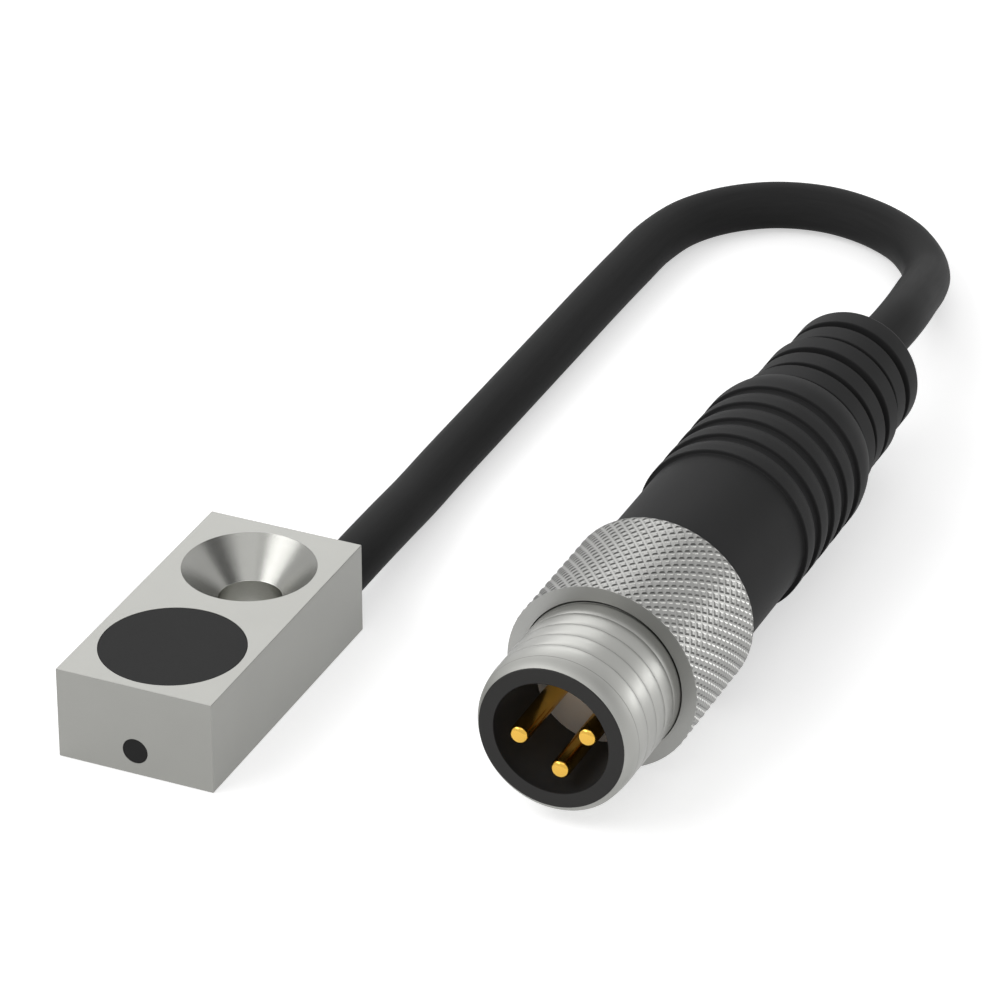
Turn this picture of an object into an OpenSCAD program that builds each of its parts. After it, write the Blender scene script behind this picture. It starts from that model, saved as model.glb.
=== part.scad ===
// Inductive proximity switch: a flat metal block with a flush sensing face, and a
// thin lead that ends in a moulded three-pin plug with a screw coupling.
// Millimetres, +Z up. The origin is on the base plane, on the axis of the fixing hole.

/* [Sensor block] */
// Width of the block
block_w = 8; // [7.8:0.1:12]
// Length of the block, from the sensing end to the cable end
block_l = 16; // [16:0.5:24]
// Height of the block
block_h = 4.7; // [4.6:0.1:7]
// Chamfer along the block's edges
edge_chamfer = 0.08; // [0.02:0.02:0.3]
// Thickness of the base under the coil pocket
base_t = 0.5; // [0.3:0.05:0.6]

/* [Fixing hole] */
// Diameter of the straight part of the hole
hole_d = 3.1; // [2.4:0.1:3.2]
// Diameter of the countersink at the top face
sink_d = 6.5; // [5:0.1:6.6]
// Distance of the hole's axis from the rear face
hole_rear = 4; // [3.6:0.1:4.4]

/* [Sensing face] */
// Diameter of the sensing cap
cap_d = 6.95; // [6.4:0.05:7]
// Distance of the cap's axis from the front face
cap_front = 4; // [3.8:0.05:4.4]
// Thickness of the cap's face
cap_face_t = 0.5; // [0.3:0.05:0.6]
// Thickness of the cap's skirt
cap_wall = 0.3; // [0.2:0.05:0.4]
// Room for resin between the tallest component and the ferrite core
resin_room = 0.31; // [0.1:0.01:0.5]
// Thickness of the core's outer wall
core_wall = 0.45; // [0.3:0.05:0.6]
// Thickness of the core's base
core_base_t = 0.6; // [0.4:0.05:0.9]
// Diameter of the core's centre post
core_post_d = 2.2; // [1.6:0.1:2.6]
// Thickness of the bobbin's tube and flanges
bobbin_t = 0.15; // [0.1:0.01:0.2]

/* [Electronics] */
// Thickness of the circuit board
board_t = 0.4; // [0.3:0.05:0.5]
// Side of the oscillator chip
chip_side = 1.8; // [1.4:0.1:2]
// Height of the oscillator chip
chip_h = 0.5; // [0.3:0.05:0.55]
// Length of the output driver
driver_l = 1.6; // [1.2:0.1:1.8]
// Width of the output driver
driver_w = 0.9; // [0.6:0.1:1]
// Height of the output driver
driver_h = 0.45; // [0.3:0.05:0.55]
// Length of one small passive component
passive_l = 1; // [0.8:0.05:1.1]
// Width of one small passive component
passive_w = 0.5; // [0.4:0.05:0.6]
// Height of one small passive component
passive_h = 0.35; // [0.2:0.05:0.5]
// Gap between neighbours on the board
part_gap = 0.45; // [0.3:0.05:0.5]
// Diameter of the resin filler plug in the front face
filler_d = 1.3; // [0.9:0.05:1.4]
// Height of the filler plug's axis over the base
filler_z = 1.25; // [1.2:0.05:1.5]

/* [Cable] */
// Outer diameter of the cable
cable_d = 2.55; // [2.2:0.05:2.6]
// Distance of the cable's axis from the block's middle plane
cable_x = 2.45; // [2.3:0.05:2.45]
// Height of the cable's axis where it leaves the block
cable_z = 2.2; // [1.8:0.05:2.6]
// Wall of the ferrule round the cable
ferrule_wall = 0.11; // [0.08:0.01:0.13]
// Length of the ferrule inside the block
ferrule_in = 1.8; // [1.2:0.1:1.8]
// Length of the ferrule that stands out of the block
ferrule_out = 0.15; // [0.1:0.05:0.5]
// Diameter of one insulated lead
lead_d = 0.7; // [0.5:0.05:0.7]

/* [Plug contacts] */
// Outer diameter of the contact carrier
carrier_d = 7.07; // [6.9:0.01:7.15]
// Bore of the shroud round the contacts
shroud_bore_d = 5.72; // [5.4:0.02:6]
// Depth of the shroud
shroud_depth = 4.7; // [4:0.1:5.5]
// Thickness of the contact holder at the bottom of the shroud
holder_t = 1.5; // [1:0.1:2]
// Length of the carrier behind the contact holder, up to the groove
carrier_body_l = 2.8; // [2.6:0.1:3.4]
// Diameter of a contact pin
pin_d = 0.95; // [0.8:0.05:1]
// Diameter of the circle that the contact pins stand on
pin_circle_d = 3.44; // [3.2:0.02:3.5]
// Distance of the pin tips behind the front face
pin_setback = 0.1; // [0.05:0.05:1]
// Diameter of a contact's collar and solder cup
cup_d = 1.1; // [1:0.05:1.15]
// Length of a solder cup behind the carrier
cup_l = 1.4; // [1:0.1:2]
// Turn of the contacts about the plug's axis, in degrees
contact_roll = 12; // [0:1:30]

/* [Screw coupling] */
// Outer diameter of the thread
thread_d = 7.9; // [7.85:0.01:7.97]
// Length of the thread in front of the knurled ring
thread_l = 5.7; // [5.2:0.1:6.4]
// Length of the lead-in chamfer on the thread
thread_chamfer = 0.35; // [0.2:0.05:0.35]
// How much smaller the sleeve's diameter is where the knurled ring sits on it
seat_step = 0.34; // [0.3:0.02:0.4]
// Diameter over the knurl
knurl_d = 9.5; // [9.3:0.1:10.5]
// Length of the knurled ring
knurl_l = 6.9; // [6:0.1:8]
// Depth of the knurl's grooves
knurl_depth = 0.09; // [0.05:0.01:0.2]
// Grooves of one slant, counted round the ring
knurl_count = 54; // [36:2:60]
// Spacing of those grooves along the ring
knurl_pitch = 0.69; // [0.6:0.01:1]
// Diameter of the recess in the ring's front face
recess_d = 8.2; // [8.1:0.05:8.6]
// Depth of that recess
recess_l = 0.8; // [0.4:0.1:1.4]
// Thickness of the retaining ring
clip_t = 0.4; // [0.3:0.05:0.5]
// Depth of the retaining ring's groove in the carrier
clip_groove = 0.35; // [0.2:0.05:0.5]
// Open part of the retaining ring, in degrees
clip_gap = 50; // [20:5:80]

/* [Grip] */
// Diameter of the grip's smooth neck and of the grip between its ribs
neck_d = 8.35; // [8.2:0.05:8.6]
// Length of the neck, from the coupling to the first rib
neck_l = 7.6; // [6:0.1:10]
// Diameter over the ribs
rib_d = 8.8; // [8.65:0.05:9.2]
// Number of ribs
rib_count = 5; // [3:1:7]
// Spacing of the ribs and of the bend relief's slots
rib_pitch = 1.73; // [1.5:0.01:2.2]
// Flat part of a rib, in front of its rounded back
rib_land = 0.5; // [0.3:0.05:0.6]
// Length of a rib's rounded back
rib_round = 0.8; // [0.5:0.05:0.85]
// Length of the domed shoulder behind the last rib
shoulder_l = 1.9; // [1.4:0.1:2.4]
// Diameter where the shoulder ends
shoulder_d = 8.26; // [7.8:0.02:8.5]
// Width of a slot in the bend relief
slot_w = 0.68; // [0.4:0.02:0.8]
// Diameter at the bottom of the slots
slot_d = 5.6; // [5:0.1:6]
// Diameter of the bend relief's first ring
relief_front_d = 7.6; // [7.4:0.02:8]
// Diameter of its two middle rings
relief_middle_d = 7.33; // [6.9:0.02:7.6]
// Diameter of its last ring
relief_rear_d = 6.85; // [6.4:0.05:7.2]
// Diameter of the end ring
end_d = 6.85; // [6.4:0.05:7.4]
// Length of the end ring
end_l = 1.4; // [1:0.1:2.5]
// Radius of the end ring's rear edge
end_round = 0.35; // [0.1:0.05:0.6]

/* [Inner mould] */
// Outer diameter of the inner mould
mould_d = 5.4; // [5.4:0.1:6]
// Length of the inner mould's wide part
mould_l = 7.5; // [6.5:0.1:9]
// Length of its cone over the cable
mould_cone_l = 4; // [3:0.1:6]
// Wall of the inner mould
mould_wall = 0.35; // [0.3:0.05:0.4]
// Length of the mould's grip on the end of the jacket
mould_hold = 1; // [0.6:0.1:1.4]
// Length of the slope in front of it
mould_slope = 0.8; // [0.4:0.1:1.2]

/* [Plug position] */
// Distance of the plug's axis from the fixing hole
plug_x = 19.3; // [18:0.1:24]
// Place of the plug's front face along the block's length
plug_y = -8.25; // [-10:0.05:-6]

/* [Clearances] */
// Gap round pieces that are set or glued in place
seat_gap = 0.02; // [0.01:0.01:0.03]
// Gap round pieces that turn
run_gap = 0.05; // [0.03:0.01:0.06]
// Gap between the coupling and the grip's shoulder
end_gap = 0.15; // [0.1:0.05:0.3]

/* [Smoothness] */
// Segments of a full circle
smooth = 96; // [48:8:144]

/* [Hidden] */
$fn = smooth;
eps = 0.01;

// Block: heights of the stack in the coil pocket, from the base up
rear_y = hole_rear;
front_y = hole_rear - block_l;
cap_y = front_y + cap_front;
sink_depth = (sink_d - hole_d) / 2;
pocket_r = cap_d / 2 + seat_gap;
board_z = base_t + seat_gap;
board_top = board_z + board_t;
core_top = block_h - cap_face_t - seat_gap;
core_z = board_top + max(chip_h, driver_h, passive_h) + resin_room;
core_h = core_top - core_z;
core_r = cap_d / 2 - cap_wall - seat_gap;
core_in_r = core_r - core_wall;
post_r = core_post_d / 2;
coil_z = core_z + core_base_t + seat_gap;
coil_h = core_top - coil_z;
cap_bottom = board_top + seat_gap;

// Block: the passage of the three leads beside the fixing hole
lead_side = lead_d / 2 + seat_gap;
passage_w = 4 * lead_side + 2 * seat_gap;
passage_wall = 0.2;
passage_x = hole_d / 2 + passage_wall + passage_w / 2;
lead_low_z = board_top + seat_gap + lead_d / 2;
lead_high_z = lead_low_z + 1.75 * lead_side;
tongue_l = 1.2;
tongue_y = cap_y + pocket_r + 0.1;
ferrule_r = cable_d / 2 + seat_gap + ferrule_wall;
inner_y = rear_y - ferrule_in;

// Plug: places along its axis, from the front face back
carrier_r = carrier_d / 2;
thread_r = thread_d / 2;
sleeve_bore_r = carrier_r + run_gap;
holder_back = shroud_depth + holder_t;
groove_at = holder_back + carrier_body_l;
groove_w = clip_t + 2 * seat_gap;
carrier_land = 0.8;
carrier_back = groove_at + groove_w + carrier_land;
boss_l = 1.2;
boss_back = carrier_back + boss_l;
boss_r = mould_d / 2 - mould_wall - seat_gap;
sleeve_back = groove_at - run_gap + seat_gap;
seat_r = thread_r - seat_step / 2;
ring_bore_r = seat_r + seat_gap;
clip_r = ring_bore_r - run_gap;
knurl_back = thread_l + knurl_l;
grip_front = knurl_back + end_gap;
nose_r = ring_bore_r - 2 * run_gap;
pin_circle_r = pin_circle_d / 2;
collar_at = holder_back + 0.4;
cup_back = boss_back + cup_l;
mould_at = carrier_back + seat_gap;
mould_back = mould_at + mould_l;
mould_end = mould_back + mould_cone_l;
jacket_at = mould_back - 0.5;
rib_at = grip_front + neck_l;
last_rib_at = rib_at + (rib_count - 1) * rib_pitch;
shoulder_back = last_rib_at + shoulder_l;
relief_at = shoulder_back + slot_w;
relief_land = rib_pitch - slot_w;
relief_d = [relief_front_d, relief_middle_d, relief_middle_d, relief_rear_d];
end_at = relief_at + len(relief_d) * rib_pitch;
grip_back = end_at + end_l;
plug_z = knurl_d / 2;

// Angles of the contacts, and the order of the leads
pin_angles = [-contact_roll, 90 - contact_roll, 180 - contact_roll];

// Route of the cable's middle line: out of the block, down to the floor, straight
// back, round a bow and up into the plug. These points are chosen by hand.
cable_route = [
    [2.45, 2.3, 2.2], [2.45, 4.5, 2.2], [2.4, 7.5, 2.15], [2.2, 11, 1.85],
    [1.95, 14.5, 1.45], [1.8, 18, 1.3], [1.8, 23, 1.3], [1.8, 28, 1.3],
    [1.8, 33, 1.3], [1.8, 38, 1.3], [1.85, 42, 1.3], [1.95, 45, 1.3],
    [2.6, 47.9, 1.3], [4.1, 50.2, 1.3], [6.3, 51.8, 1.3], [9, 52.4, 1.3],
    [11.7, 51.9, 1.3], [14.1, 50.6, 1.3], [15.8, 48.7, 1.4], [16.9, 46.6, 1.7],
    [17.6, 44.3, 2.3], [18.2, 41.5, 3.1], [18.8, 38.5, 3.9], [19.2, 35.7, 4.5],
    [19.3, 33, 4.75], [19.3, 29, 4.75], [19.3, 19, 4.75], [19.3, 9, 4.75]];
tube_sides = 8;

function unit(v) = v / norm(v);
// Direction of a route at point i, from its neighbours
function heading(p, i) =
    unit(p[min(i + 1, len(p) - 1)] - p[max(i - 1, 0)]);
// One ring of a round tube about point i of a route, square to its direction
function tube_ring(p, i, r, up) =
    let (t = heading(p, i), s = unit(cross(t, up)), u = cross(t, s))
    [for (k = [0:tube_sides - 1])
        let (a = 360 * k / tube_sides) p[i] + r * (cos(a) * s + sin(a) * u)];

// Round tube swept along the points of a route, which never runs along up
module tube(p, d, up) {
    n = len(p);
    m = tube_sides;
    points = [for (i = [0:n - 1]) each tube_ring(p, i, d / 2, up)];
    front = [for (k = [0:m - 1]) k];
    back = [for (k = [m - 1:-1:0]) (n - 1) * m + k];
    sides = [for (j = [0:n - 2], k = [0:m - 1])
        let (a = j * m + k, b = j * m + (k + 1) % m)
        each [[a, a + m, b], [b, a + m, b + m]]];
    polyhedron(points, concat([front], sides, [back]));
}

// Places its children on the plug: their +Z is the plug's axis from the front face back
module on_plug() {
    translate([plug_x, plug_y, plug_z]) rotate([-90, 0, 0]) children();
}

// Solid of revolution whose profile points are [radius, place along the axis]
module turned(profile) {
    rotate_extrude() polygon(profile);
}

// Plain tube from one place on the axis to another
module pipe(r_out, r_in, from, to) {
    turned([[r_in, from], [r_out, from], [r_out, to], [r_in, to]]);
}

// Rectangle centred on the origin with its corners cut off
module cut_rect(w, h, c) {
    x = w / 2;
    y = h / 2;
    polygon([[-x + c, -y], [x - c, -y], [x, -y + c], [x, y - c],
        [x - c, y], [-x + c, y], [-x, y - c], [-x, -y + c]]);
}

// Block with a chamfer on each of its twelve edges, its base on the XY plane
module chamfered_block(w, l, h, c) {
    translate([0, 0, h / 2]) intersection() {
        linear_extrude(h, center = true) cut_rect(w, l, c);
        rotate([90, 0, 0]) linear_extrude(l, center = true) cut_rect(w, h, c);
        rotate([90, 0, 90]) linear_extrude(w, center = true) cut_rect(l, h, c);
    }
}

// Passage for the leads from the cable's bore to the coil pocket, wider by gap all round
module passage(gap) {
    low = base_t;
    high = lead_high_z + lead_side + seat_gap;
    translate([passage_x - passage_w / 2 - gap, cap_y, low - gap])
        cube([passage_w + 2 * gap, inner_y - cap_y + eps, high - low + 2 * gap]);
}

// Three leads side by side and stacked in the passage, each from just behind the cap's round wall
module head_lead(x, z) {
    front = cap_y + sqrt(pow(pocket_r + seat_gap, 2) - pow(x - lead_d / 2, 2));
    translate([x, front, z]) rotate([-90, 0, 0])
        cylinder(d = lead_d, h = inner_y - front - seat_gap);
}

module housing() {
    color([0.74, 0.74, 0.72]) difference() {
        translate([0, (front_y + rear_y) / 2, 0])
            chamfered_block(block_w, block_l, block_h, edge_chamfer);
        translate([0, 0, -eps]) cylinder(d = hole_d, h = block_h + 2 * eps);
        translate([0, 0, block_h - sink_depth])
            cylinder(d1 = hole_d, d2 = sink_d + 2 * eps, h = sink_depth + eps);
        translate([0, cap_y, base_t]) cylinder(r = pocket_r, h = block_h);
        passage(0);
        translate([cable_x, inner_y, cable_z]) rotate([-90, 0, 0])
            cylinder(r = ferrule_r + seat_gap, h = ferrule_in + eps);
        translate([0, front_y - eps, filler_z]) rotate([-90, 0, 0])
            cylinder(d = filler_d, h = cap_front);
    }
}

// Cup-shaped cap with its face flush with the top of the block
module sensing_cap() {
    color([0.12, 0.12, 0.13]) translate([0, cap_y, 0]) difference() {
        translate([0, 0, cap_bottom]) cylinder(d = cap_d, h = block_h - cap_bottom);
        translate([0, 0, cap_bottom - eps])
            cylinder(r = cap_d / 2 - cap_wall, h = core_top + seat_gap - cap_bottom + eps);
    }
}

// Pot core, open towards the sensing face
module ferrite_core() {
    color([0.25, 0.25, 0.27]) translate([0, cap_y, 0]) difference() {
        translate([0, 0, core_z]) cylinder(r = core_r, h = core_h);
        translate([0, 0, core_z + core_base_t]) difference() {
            cylinder(r = core_in_r, h = core_h);
            cylinder(r = post_r, h = core_h);
        }
    }
}

module coil_bobbin() {
    tube_in = post_r + seat_gap;
    tube_out = tube_in + bobbin_t;
    flange = core_in_r - seat_gap;
    color([0.9, 0.88, 0.8]) translate([0, cap_y, coil_z])
        turned([[tube_in, 0], [flange, 0], [flange, bobbin_t], [tube_out, bobbin_t],
            [tube_out, coil_h - bobbin_t], [flange, coil_h - bobbin_t],
            [flange, coil_h], [tube_in, coil_h]]);
}

module coil_winding() {
    color([0.75, 0.38, 0.2]) translate([0, cap_y, coil_z])
        pipe(core_in_r - seat_gap - 0.12, post_r + bobbin_t + 2 * seat_gap,
            bobbin_t + seat_gap, coil_h - bobbin_t - seat_gap);
}

// Round board with a tongue that reaches into the passage and carries the leads
module circuit_board() {
    tongue_w = passage_w - 2 * seat_gap;
    color([0.1, 0.42, 0.2]) translate([0, 0, board_z]) union() {
        translate([0, cap_y, 0]) cylinder(r = pocket_r - seat_gap, h = board_t);
        translate([passage_x - tongue_w / 2, cap_y, 0])
            cube([tongue_w, tongue_y - cap_y + tongue_l, board_t]);
    }
}

// Boxes on the board, each grown by gap all round
module board_box(x, y, l, w, h, gap = 0) {
    translate([x - l / 2 - gap, cap_y + y - w / 2 - gap, board_top + seat_gap / 2 - gap])
        cube([l + 2 * gap, w + 2 * gap, h + 2 * gap]);
}

module chip_box(gap = 0) {
    board_box(-chip_side / 2, chip_side / 2 - part_gap, chip_side, chip_side, chip_h, gap);
}

module driver_box(gap = 0) {
    board_box(part_gap + driver_l / 2, part_gap + driver_w / 2, driver_l, driver_w, driver_h, gap);
}

// Three in a row, one in front of them, one beside the driver and one behind the chip
module passive_boxes(gap = 0) {
    next = passive_l + part_gap;
    row = -2 * part_gap - passive_w / 2;
    for (spot = [[-next, row], [0, row], [next, row], [0, row - passive_w - part_gap],
            [part_gap + driver_l / 2, -part_gap / 2], [-chip_side / 2, chip_side + passive_w / 2]])
        board_box(spot[0], spot[1], passive_l, passive_w, passive_h, gap);
}

module oscillator_chip() {
    color([0.1, 0.1, 0.11]) chip_box();
}

module output_driver() {
    color([0.13, 0.13, 0.14]) driver_box();
}

module board_passives() {
    color([0.72, 0.62, 0.45]) passive_boxes();
}

// Resin between the board and the core, cast round the components
module resin_fill() {
    top = core_z - seat_gap;
    color([0.2, 0.2, 0.22]) difference() {
        translate([0, cap_y, board_top + seat_gap])
            cylinder(r = cap_d / 2 - cap_wall - seat_gap, h = top - board_top - seat_gap);
        chip_box(seat_gap);
        driver_box(seat_gap);
        passive_boxes(seat_gap);
    }
}

// Plug of resin in the filler hole, flush with the front face
module filler_plug() {
    r = filler_d / 2 - seat_gap;
    wall = cap_front - sqrt(pow(pocket_r, 2) - pow(filler_d / 2, 2));
    color([0.08, 0.08, 0.09]) translate([0, front_y, filler_z]) rotate([-90, 0, 0])
        difference() {
            cylinder(r = r, h = wall);
            translate([0, 0, cap_front]) rotate([90, 0, 0])
                cylinder(r = pocket_r + seat_gap, h = filler_d * 2, center = true);
        }
}

// Metal bush that guides the cable out of the rear face
module cable_ferrule() {
    color([0.78, 0.78, 0.76]) translate([cable_x, inner_y, cable_z]) rotate([-90, 0, 0])
        pipe(ferrule_r, cable_d / 2 + seat_gap, 0, ferrule_in + ferrule_out);
}

module head_lead_brown() {
    color([0.35, 0.19, 0.1]) head_lead(passage_x - lead_side, lead_low_z);
}

module head_lead_black() {
    color([0.1, 0.1, 0.1]) head_lead(passage_x, lead_high_z);
}

module head_lead_blue() {
    color([0.1, 0.25, 0.6]) head_lead(passage_x + lead_side, lead_low_z);
}

module cable() {
    color([0.13, 0.13, 0.13]) tube(cable_route, cable_d, [0, 0, 1]);
}

// One rib: a sharp front edge, a flat and a rounded back down to the neck
function rib_profile(at) = concat(
    [[neck_d / 2, at], [rib_d / 2, at]],
    [for (a = [0:15:90])
        [neck_d / 2 + (rib_d - neck_d) / 2 * cos(a), at + rib_land + rib_round * sin(a)]]);

// Last rib and the dome that runs down to the bend relief
function shoulder_profile(at) = concat(
    [[neck_d / 2, at], [rib_d / 2, at]],
    [for (t = [0:0.2:1])
        [rib_d / 2 - (rib_d - shoulder_d) / 2 * t * t,
            at + rib_land + (shoulder_l - rib_land) * t]]);

// One ring of the bend relief, with the slot in front of it
function relief_profile(i) =
    let (at = relief_at + i * rib_pitch, r = relief_d[i] / 2)
    [[slot_d / 2, at - slot_w], [slot_d / 2, at], [r, at], [r, at + relief_land]];

// End ring, with the last slot in front of it and a rounded rear edge
function end_profile() = concat(
    [[slot_d / 2, end_at - slot_w], [slot_d / 2, end_at], [end_d / 2, end_at]],
    [for (a = [0:15:90])
        [end_d / 2 - end_round * (1 - cos(a)), grip_back - end_round * (1 - sin(a))]]);

// Overmoulded grip: a nose inside the coupling, a neck, ribs and a bend relief
module grip() {
    bore_r = cable_d / 2 + seat_gap;
    wide_r = mould_d / 2 + seat_gap;
    outside = concat(
        [[wide_r, carrier_back + seat_gap], [nose_r, carrier_back + seat_gap], [nose_r, grip_front],
            [neck_d / 2, grip_front]],
        [for (i = [0:rib_count - 2]) each rib_profile(rib_at + i * rib_pitch)],
        shoulder_profile(last_rib_at),
        [for (i = [0:len(relief_d) - 1]) each relief_profile(i)],
        end_profile());
    inside = [[bore_r, grip_back], [bore_r, mould_end + seat_gap],
        [bore_r + mould_wall + seat_gap, mould_end + seat_gap], [wide_r, mould_back + seat_gap]];
    color([0.14, 0.14, 0.15]) on_plug() turned(concat(outside, inside));
}

// Inner mould: a hollow shell round the solder cups, closed onto the cable
module inner_mould() {
    r = mould_d / 2;
    bore_r = cable_d / 2 + seat_gap;
    color([0.85, 0.85, 0.82]) on_plug() turned([
        [r - mould_wall, mould_at], [r, mould_at], [r, mould_back],
        [bore_r + mould_wall, mould_end], [bore_r, mould_end],
        [bore_r, mould_back - mould_hold], [r - mould_wall, mould_back - mould_hold - mould_slope]]);
}

// Lead from a solder cup in to the end of the cable's jacket
module plug_lead(angle) {
    a = angle;
    start = cup_back + seat_gap;
    finish = jacket_at - 0.3;
    near = 0.42;
    stages = [[0, 0], [0.15, 0], [0.5, 0.5], [0.85, 1], [1, 1]];
    path = [for (s = stages)
        let (r = pin_circle_r + (near - pin_circle_r) * s[1], at = start + (finish - start) * s[0])
        [r * cos(a), r * sin(a), at]];
    on_plug() tube(path, lead_d, [0, 1, 0]);
}

module plug_lead_brown() {
    color([0.35, 0.19, 0.1]) plug_lead(pin_angles[2]);
}

module plug_lead_black() {
    color([0.1, 0.1, 0.1]) plug_lead(pin_angles[1]);
}

module plug_lead_blue() {
    color([0.1, 0.25, 0.6]) plug_lead(pin_angles[0]);
}

// Cylinders at the places of the contacts
module at_contacts(r, from, to) {
    for (a = pin_angles)
        rotate([0, 0, a]) translate([pin_circle_r, 0, from]) cylinder(r = r, h = to - from);
}

// Shroud and body of the plug in one moulding, with a groove for the retaining ring
module contact_carrier() {
    r = carrier_r;
    color([0.16, 0.16, 0.17]) on_plug() difference() {
        turned([[shroud_bore_d / 2, 0], [r, 0], [r, groove_at],
            [r - clip_groove, groove_at], [r - clip_groove, groove_at + groove_w],
            [r, groove_at + groove_w], [r, carrier_back],
            [boss_r, carrier_back], [boss_r, boss_back], [0, boss_back],
            [0, holder_back + seat_gap], [shroud_bore_d / 2, holder_back + seat_gap]]);
        at_contacts(pin_d / 2 + seat_gap, holder_back, boss_back + eps);
        at_contacts(cup_d / 2 + seat_gap, collar_at, boss_back + eps);
    }
}

// Grey disc at the bottom of the shroud that holds the contacts
module contact_holder() {
    color([0.5, 0.49, 0.48]) on_plug() difference() {
        translate([0, 0, shroud_depth])
            cylinder(r = shroud_bore_d / 2 - seat_gap, h = holder_t);
        at_contacts(pin_d / 2 + seat_gap, shroud_depth - eps, holder_back + eps);
    }
}

// Contact pin with a domed tip, a collar in the carrier and a solder cup
module contact_pin(angle) {
    r = pin_d / 2;
    tip = 0.12;
    cup_bore = lead_d / 2 - 0.1;
    cup_bore_l = min(1, cup_l);
    back = cup_back;
    color([0.85, 0.65, 0.3]) on_plug()
        rotate([0, 0, angle]) translate([pin_circle_r, 0, 0])
        turned([[0, pin_setback], [r - tip, pin_setback], [r - 0.03, pin_setback + 0.05],
            [r, pin_setback + tip], [r, collar_at + seat_gap],
            [cup_d / 2, collar_at + seat_gap], [cup_d / 2, back],
            [cup_bore, back], [cup_bore, back - cup_bore_l], [0, back - cup_bore_l]]);
}

module pin_brown() {
    contact_pin(pin_angles[2]);
}

module pin_black() {
    contact_pin(pin_angles[1]);
}

module pin_blue() {
    contact_pin(pin_angles[0]);
}

// Open spring ring in the carrier's groove, which keeps the coupling on the plug
module retaining_ring() {
    color([0.6, 0.6, 0.6]) on_plug() difference() {
        pipe(clip_r, carrier_r - clip_groove + seat_gap,
            groove_at + seat_gap, groove_at + seat_gap + clip_t);
        rotate([0, 0, 90 - clip_gap / 2])
            rotate_extrude(angle = clip_gap) translate([carrier_r / 2, groove_at - clip_t])
                square([carrier_r, 3 * clip_t]);
    }
}

// Externally threaded sleeve that turns on the carrier, with a seat for the knurled ring
module threaded_sleeve() {
    lead_r = thread_r - thread_chamfer;
    color([0.76, 0.76, 0.74]) on_plug()
        turned([[sleeve_bore_r, 0.05], [max(lead_r, sleeve_bore_r + 0.02), 0.05],
            [thread_r, 0.05 + thread_chamfer], [thread_r, thread_l],
            [seat_r, thread_l], [seat_r, sleeve_back], [sleeve_bore_r, sleeve_back]]);
}

// Radius of the knurl at row j and column k: peaks and crossings take turns, and the
// two end rows are plain circles at half the grooves' depth
function knurl_r(j, k, last) = knurl_d / 2
    - knurl_depth * (j == 0 || j == last ? 0.5 : (j + k) % 2);

// One closed solid of rings of points. The first rings are half a groove apart, each
// with a peak and a groove crossing by turns, so that every diamond is a four-sided
// pyramid. The last four are the bore and the recess for the thread's end.
module knurled_ring() {
    n = 2 * knurl_count;
    rows = 2 * round(knurl_l / knurl_pitch) + 1;
    step = knurl_l / (rows - 1);
    inside = [[ring_bore_r, knurl_back], [ring_bore_r, thread_l + recess_l],
        [recess_d / 2, thread_l + recess_l], [recess_d / 2, thread_l]];
    m = rows + len(inside);
    points = [for (j = [0:m - 1], k = [0:n - 1])
        let (a = 360 * k / n,
            r = j < rows ? knurl_r(j, k, rows - 1) : inside[j - rows][0],
            at = j < rows ? thread_l + j * step : inside[j - rows][1])
        [r * cos(a), r * sin(a), at]];
    faces = [for (j = [0:m - 1], k = [0:n - 1])
        let (a = j * n + k, b = j * n + (k + 1) % n,
            c = (j + 1) % m * n + k, d = (j + 1) % m * n + (k + 1) % n)
        each j < rows - 1 && (j + k) % 2 == 1 ? [[a, d, b], [a, c, d]] : [[a, c, b], [b, c, d]]];
    color([0.72, 0.72, 0.7]) on_plug() polyhedron(points, faces);
}

housing();
sensing_cap();
ferrite_core();
coil_bobbin();
coil_winding();
circuit_board();
oscillator_chip();
output_driver();
board_passives();
resin_fill();
filler_plug();
cable_ferrule();
head_lead_brown();
head_lead_black();
head_lead_blue();
cable();
grip();
inner_mould();
plug_lead_brown();
plug_lead_black();
plug_lead_blue();
contact_carrier();
contact_holder();
pin_brown();
pin_black();
pin_blue();
retaining_ring();
threaded_sleeve();
knurled_ring();
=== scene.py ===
# %% [markdown]
# # An inductive proximity switch on a lead with a screw plug
#
# The real object is a metal block of 8 x 16 x 4.7 mm that notices metal in front of its
# black round face, a thin lead, and a moulded plug with three gold contacts and a ring
# that is turned by hand. This lesson loads the finished solids as a frame, and then gives
# each piece the shape and finish that the eye sees.

# %% Load the frame
import math

import bmesh
import bpy
from mathutils import Matrix, Vector


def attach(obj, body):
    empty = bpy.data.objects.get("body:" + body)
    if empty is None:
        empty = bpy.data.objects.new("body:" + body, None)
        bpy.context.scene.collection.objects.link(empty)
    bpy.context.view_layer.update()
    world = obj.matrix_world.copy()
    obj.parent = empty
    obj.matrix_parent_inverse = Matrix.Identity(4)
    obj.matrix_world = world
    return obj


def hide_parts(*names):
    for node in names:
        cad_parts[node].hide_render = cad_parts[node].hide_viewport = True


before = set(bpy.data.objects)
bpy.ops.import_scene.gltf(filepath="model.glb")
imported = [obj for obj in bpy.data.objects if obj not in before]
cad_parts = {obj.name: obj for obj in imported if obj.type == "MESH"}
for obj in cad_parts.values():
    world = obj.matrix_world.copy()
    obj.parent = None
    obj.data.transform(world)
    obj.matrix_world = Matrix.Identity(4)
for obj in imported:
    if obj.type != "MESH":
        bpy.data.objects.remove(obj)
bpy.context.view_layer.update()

# %% [markdown]
# ## The camera
#
# A camera can be set by eye, but a small object seen through a long lens shows every
# degree. This one was worked out from the block's corners and the plug's circles, so it is
# written as a place, the direction that it looks from, and a lens. Its axes are built by
# cross products, which is the way to follow when a view has to match exactly.

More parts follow.
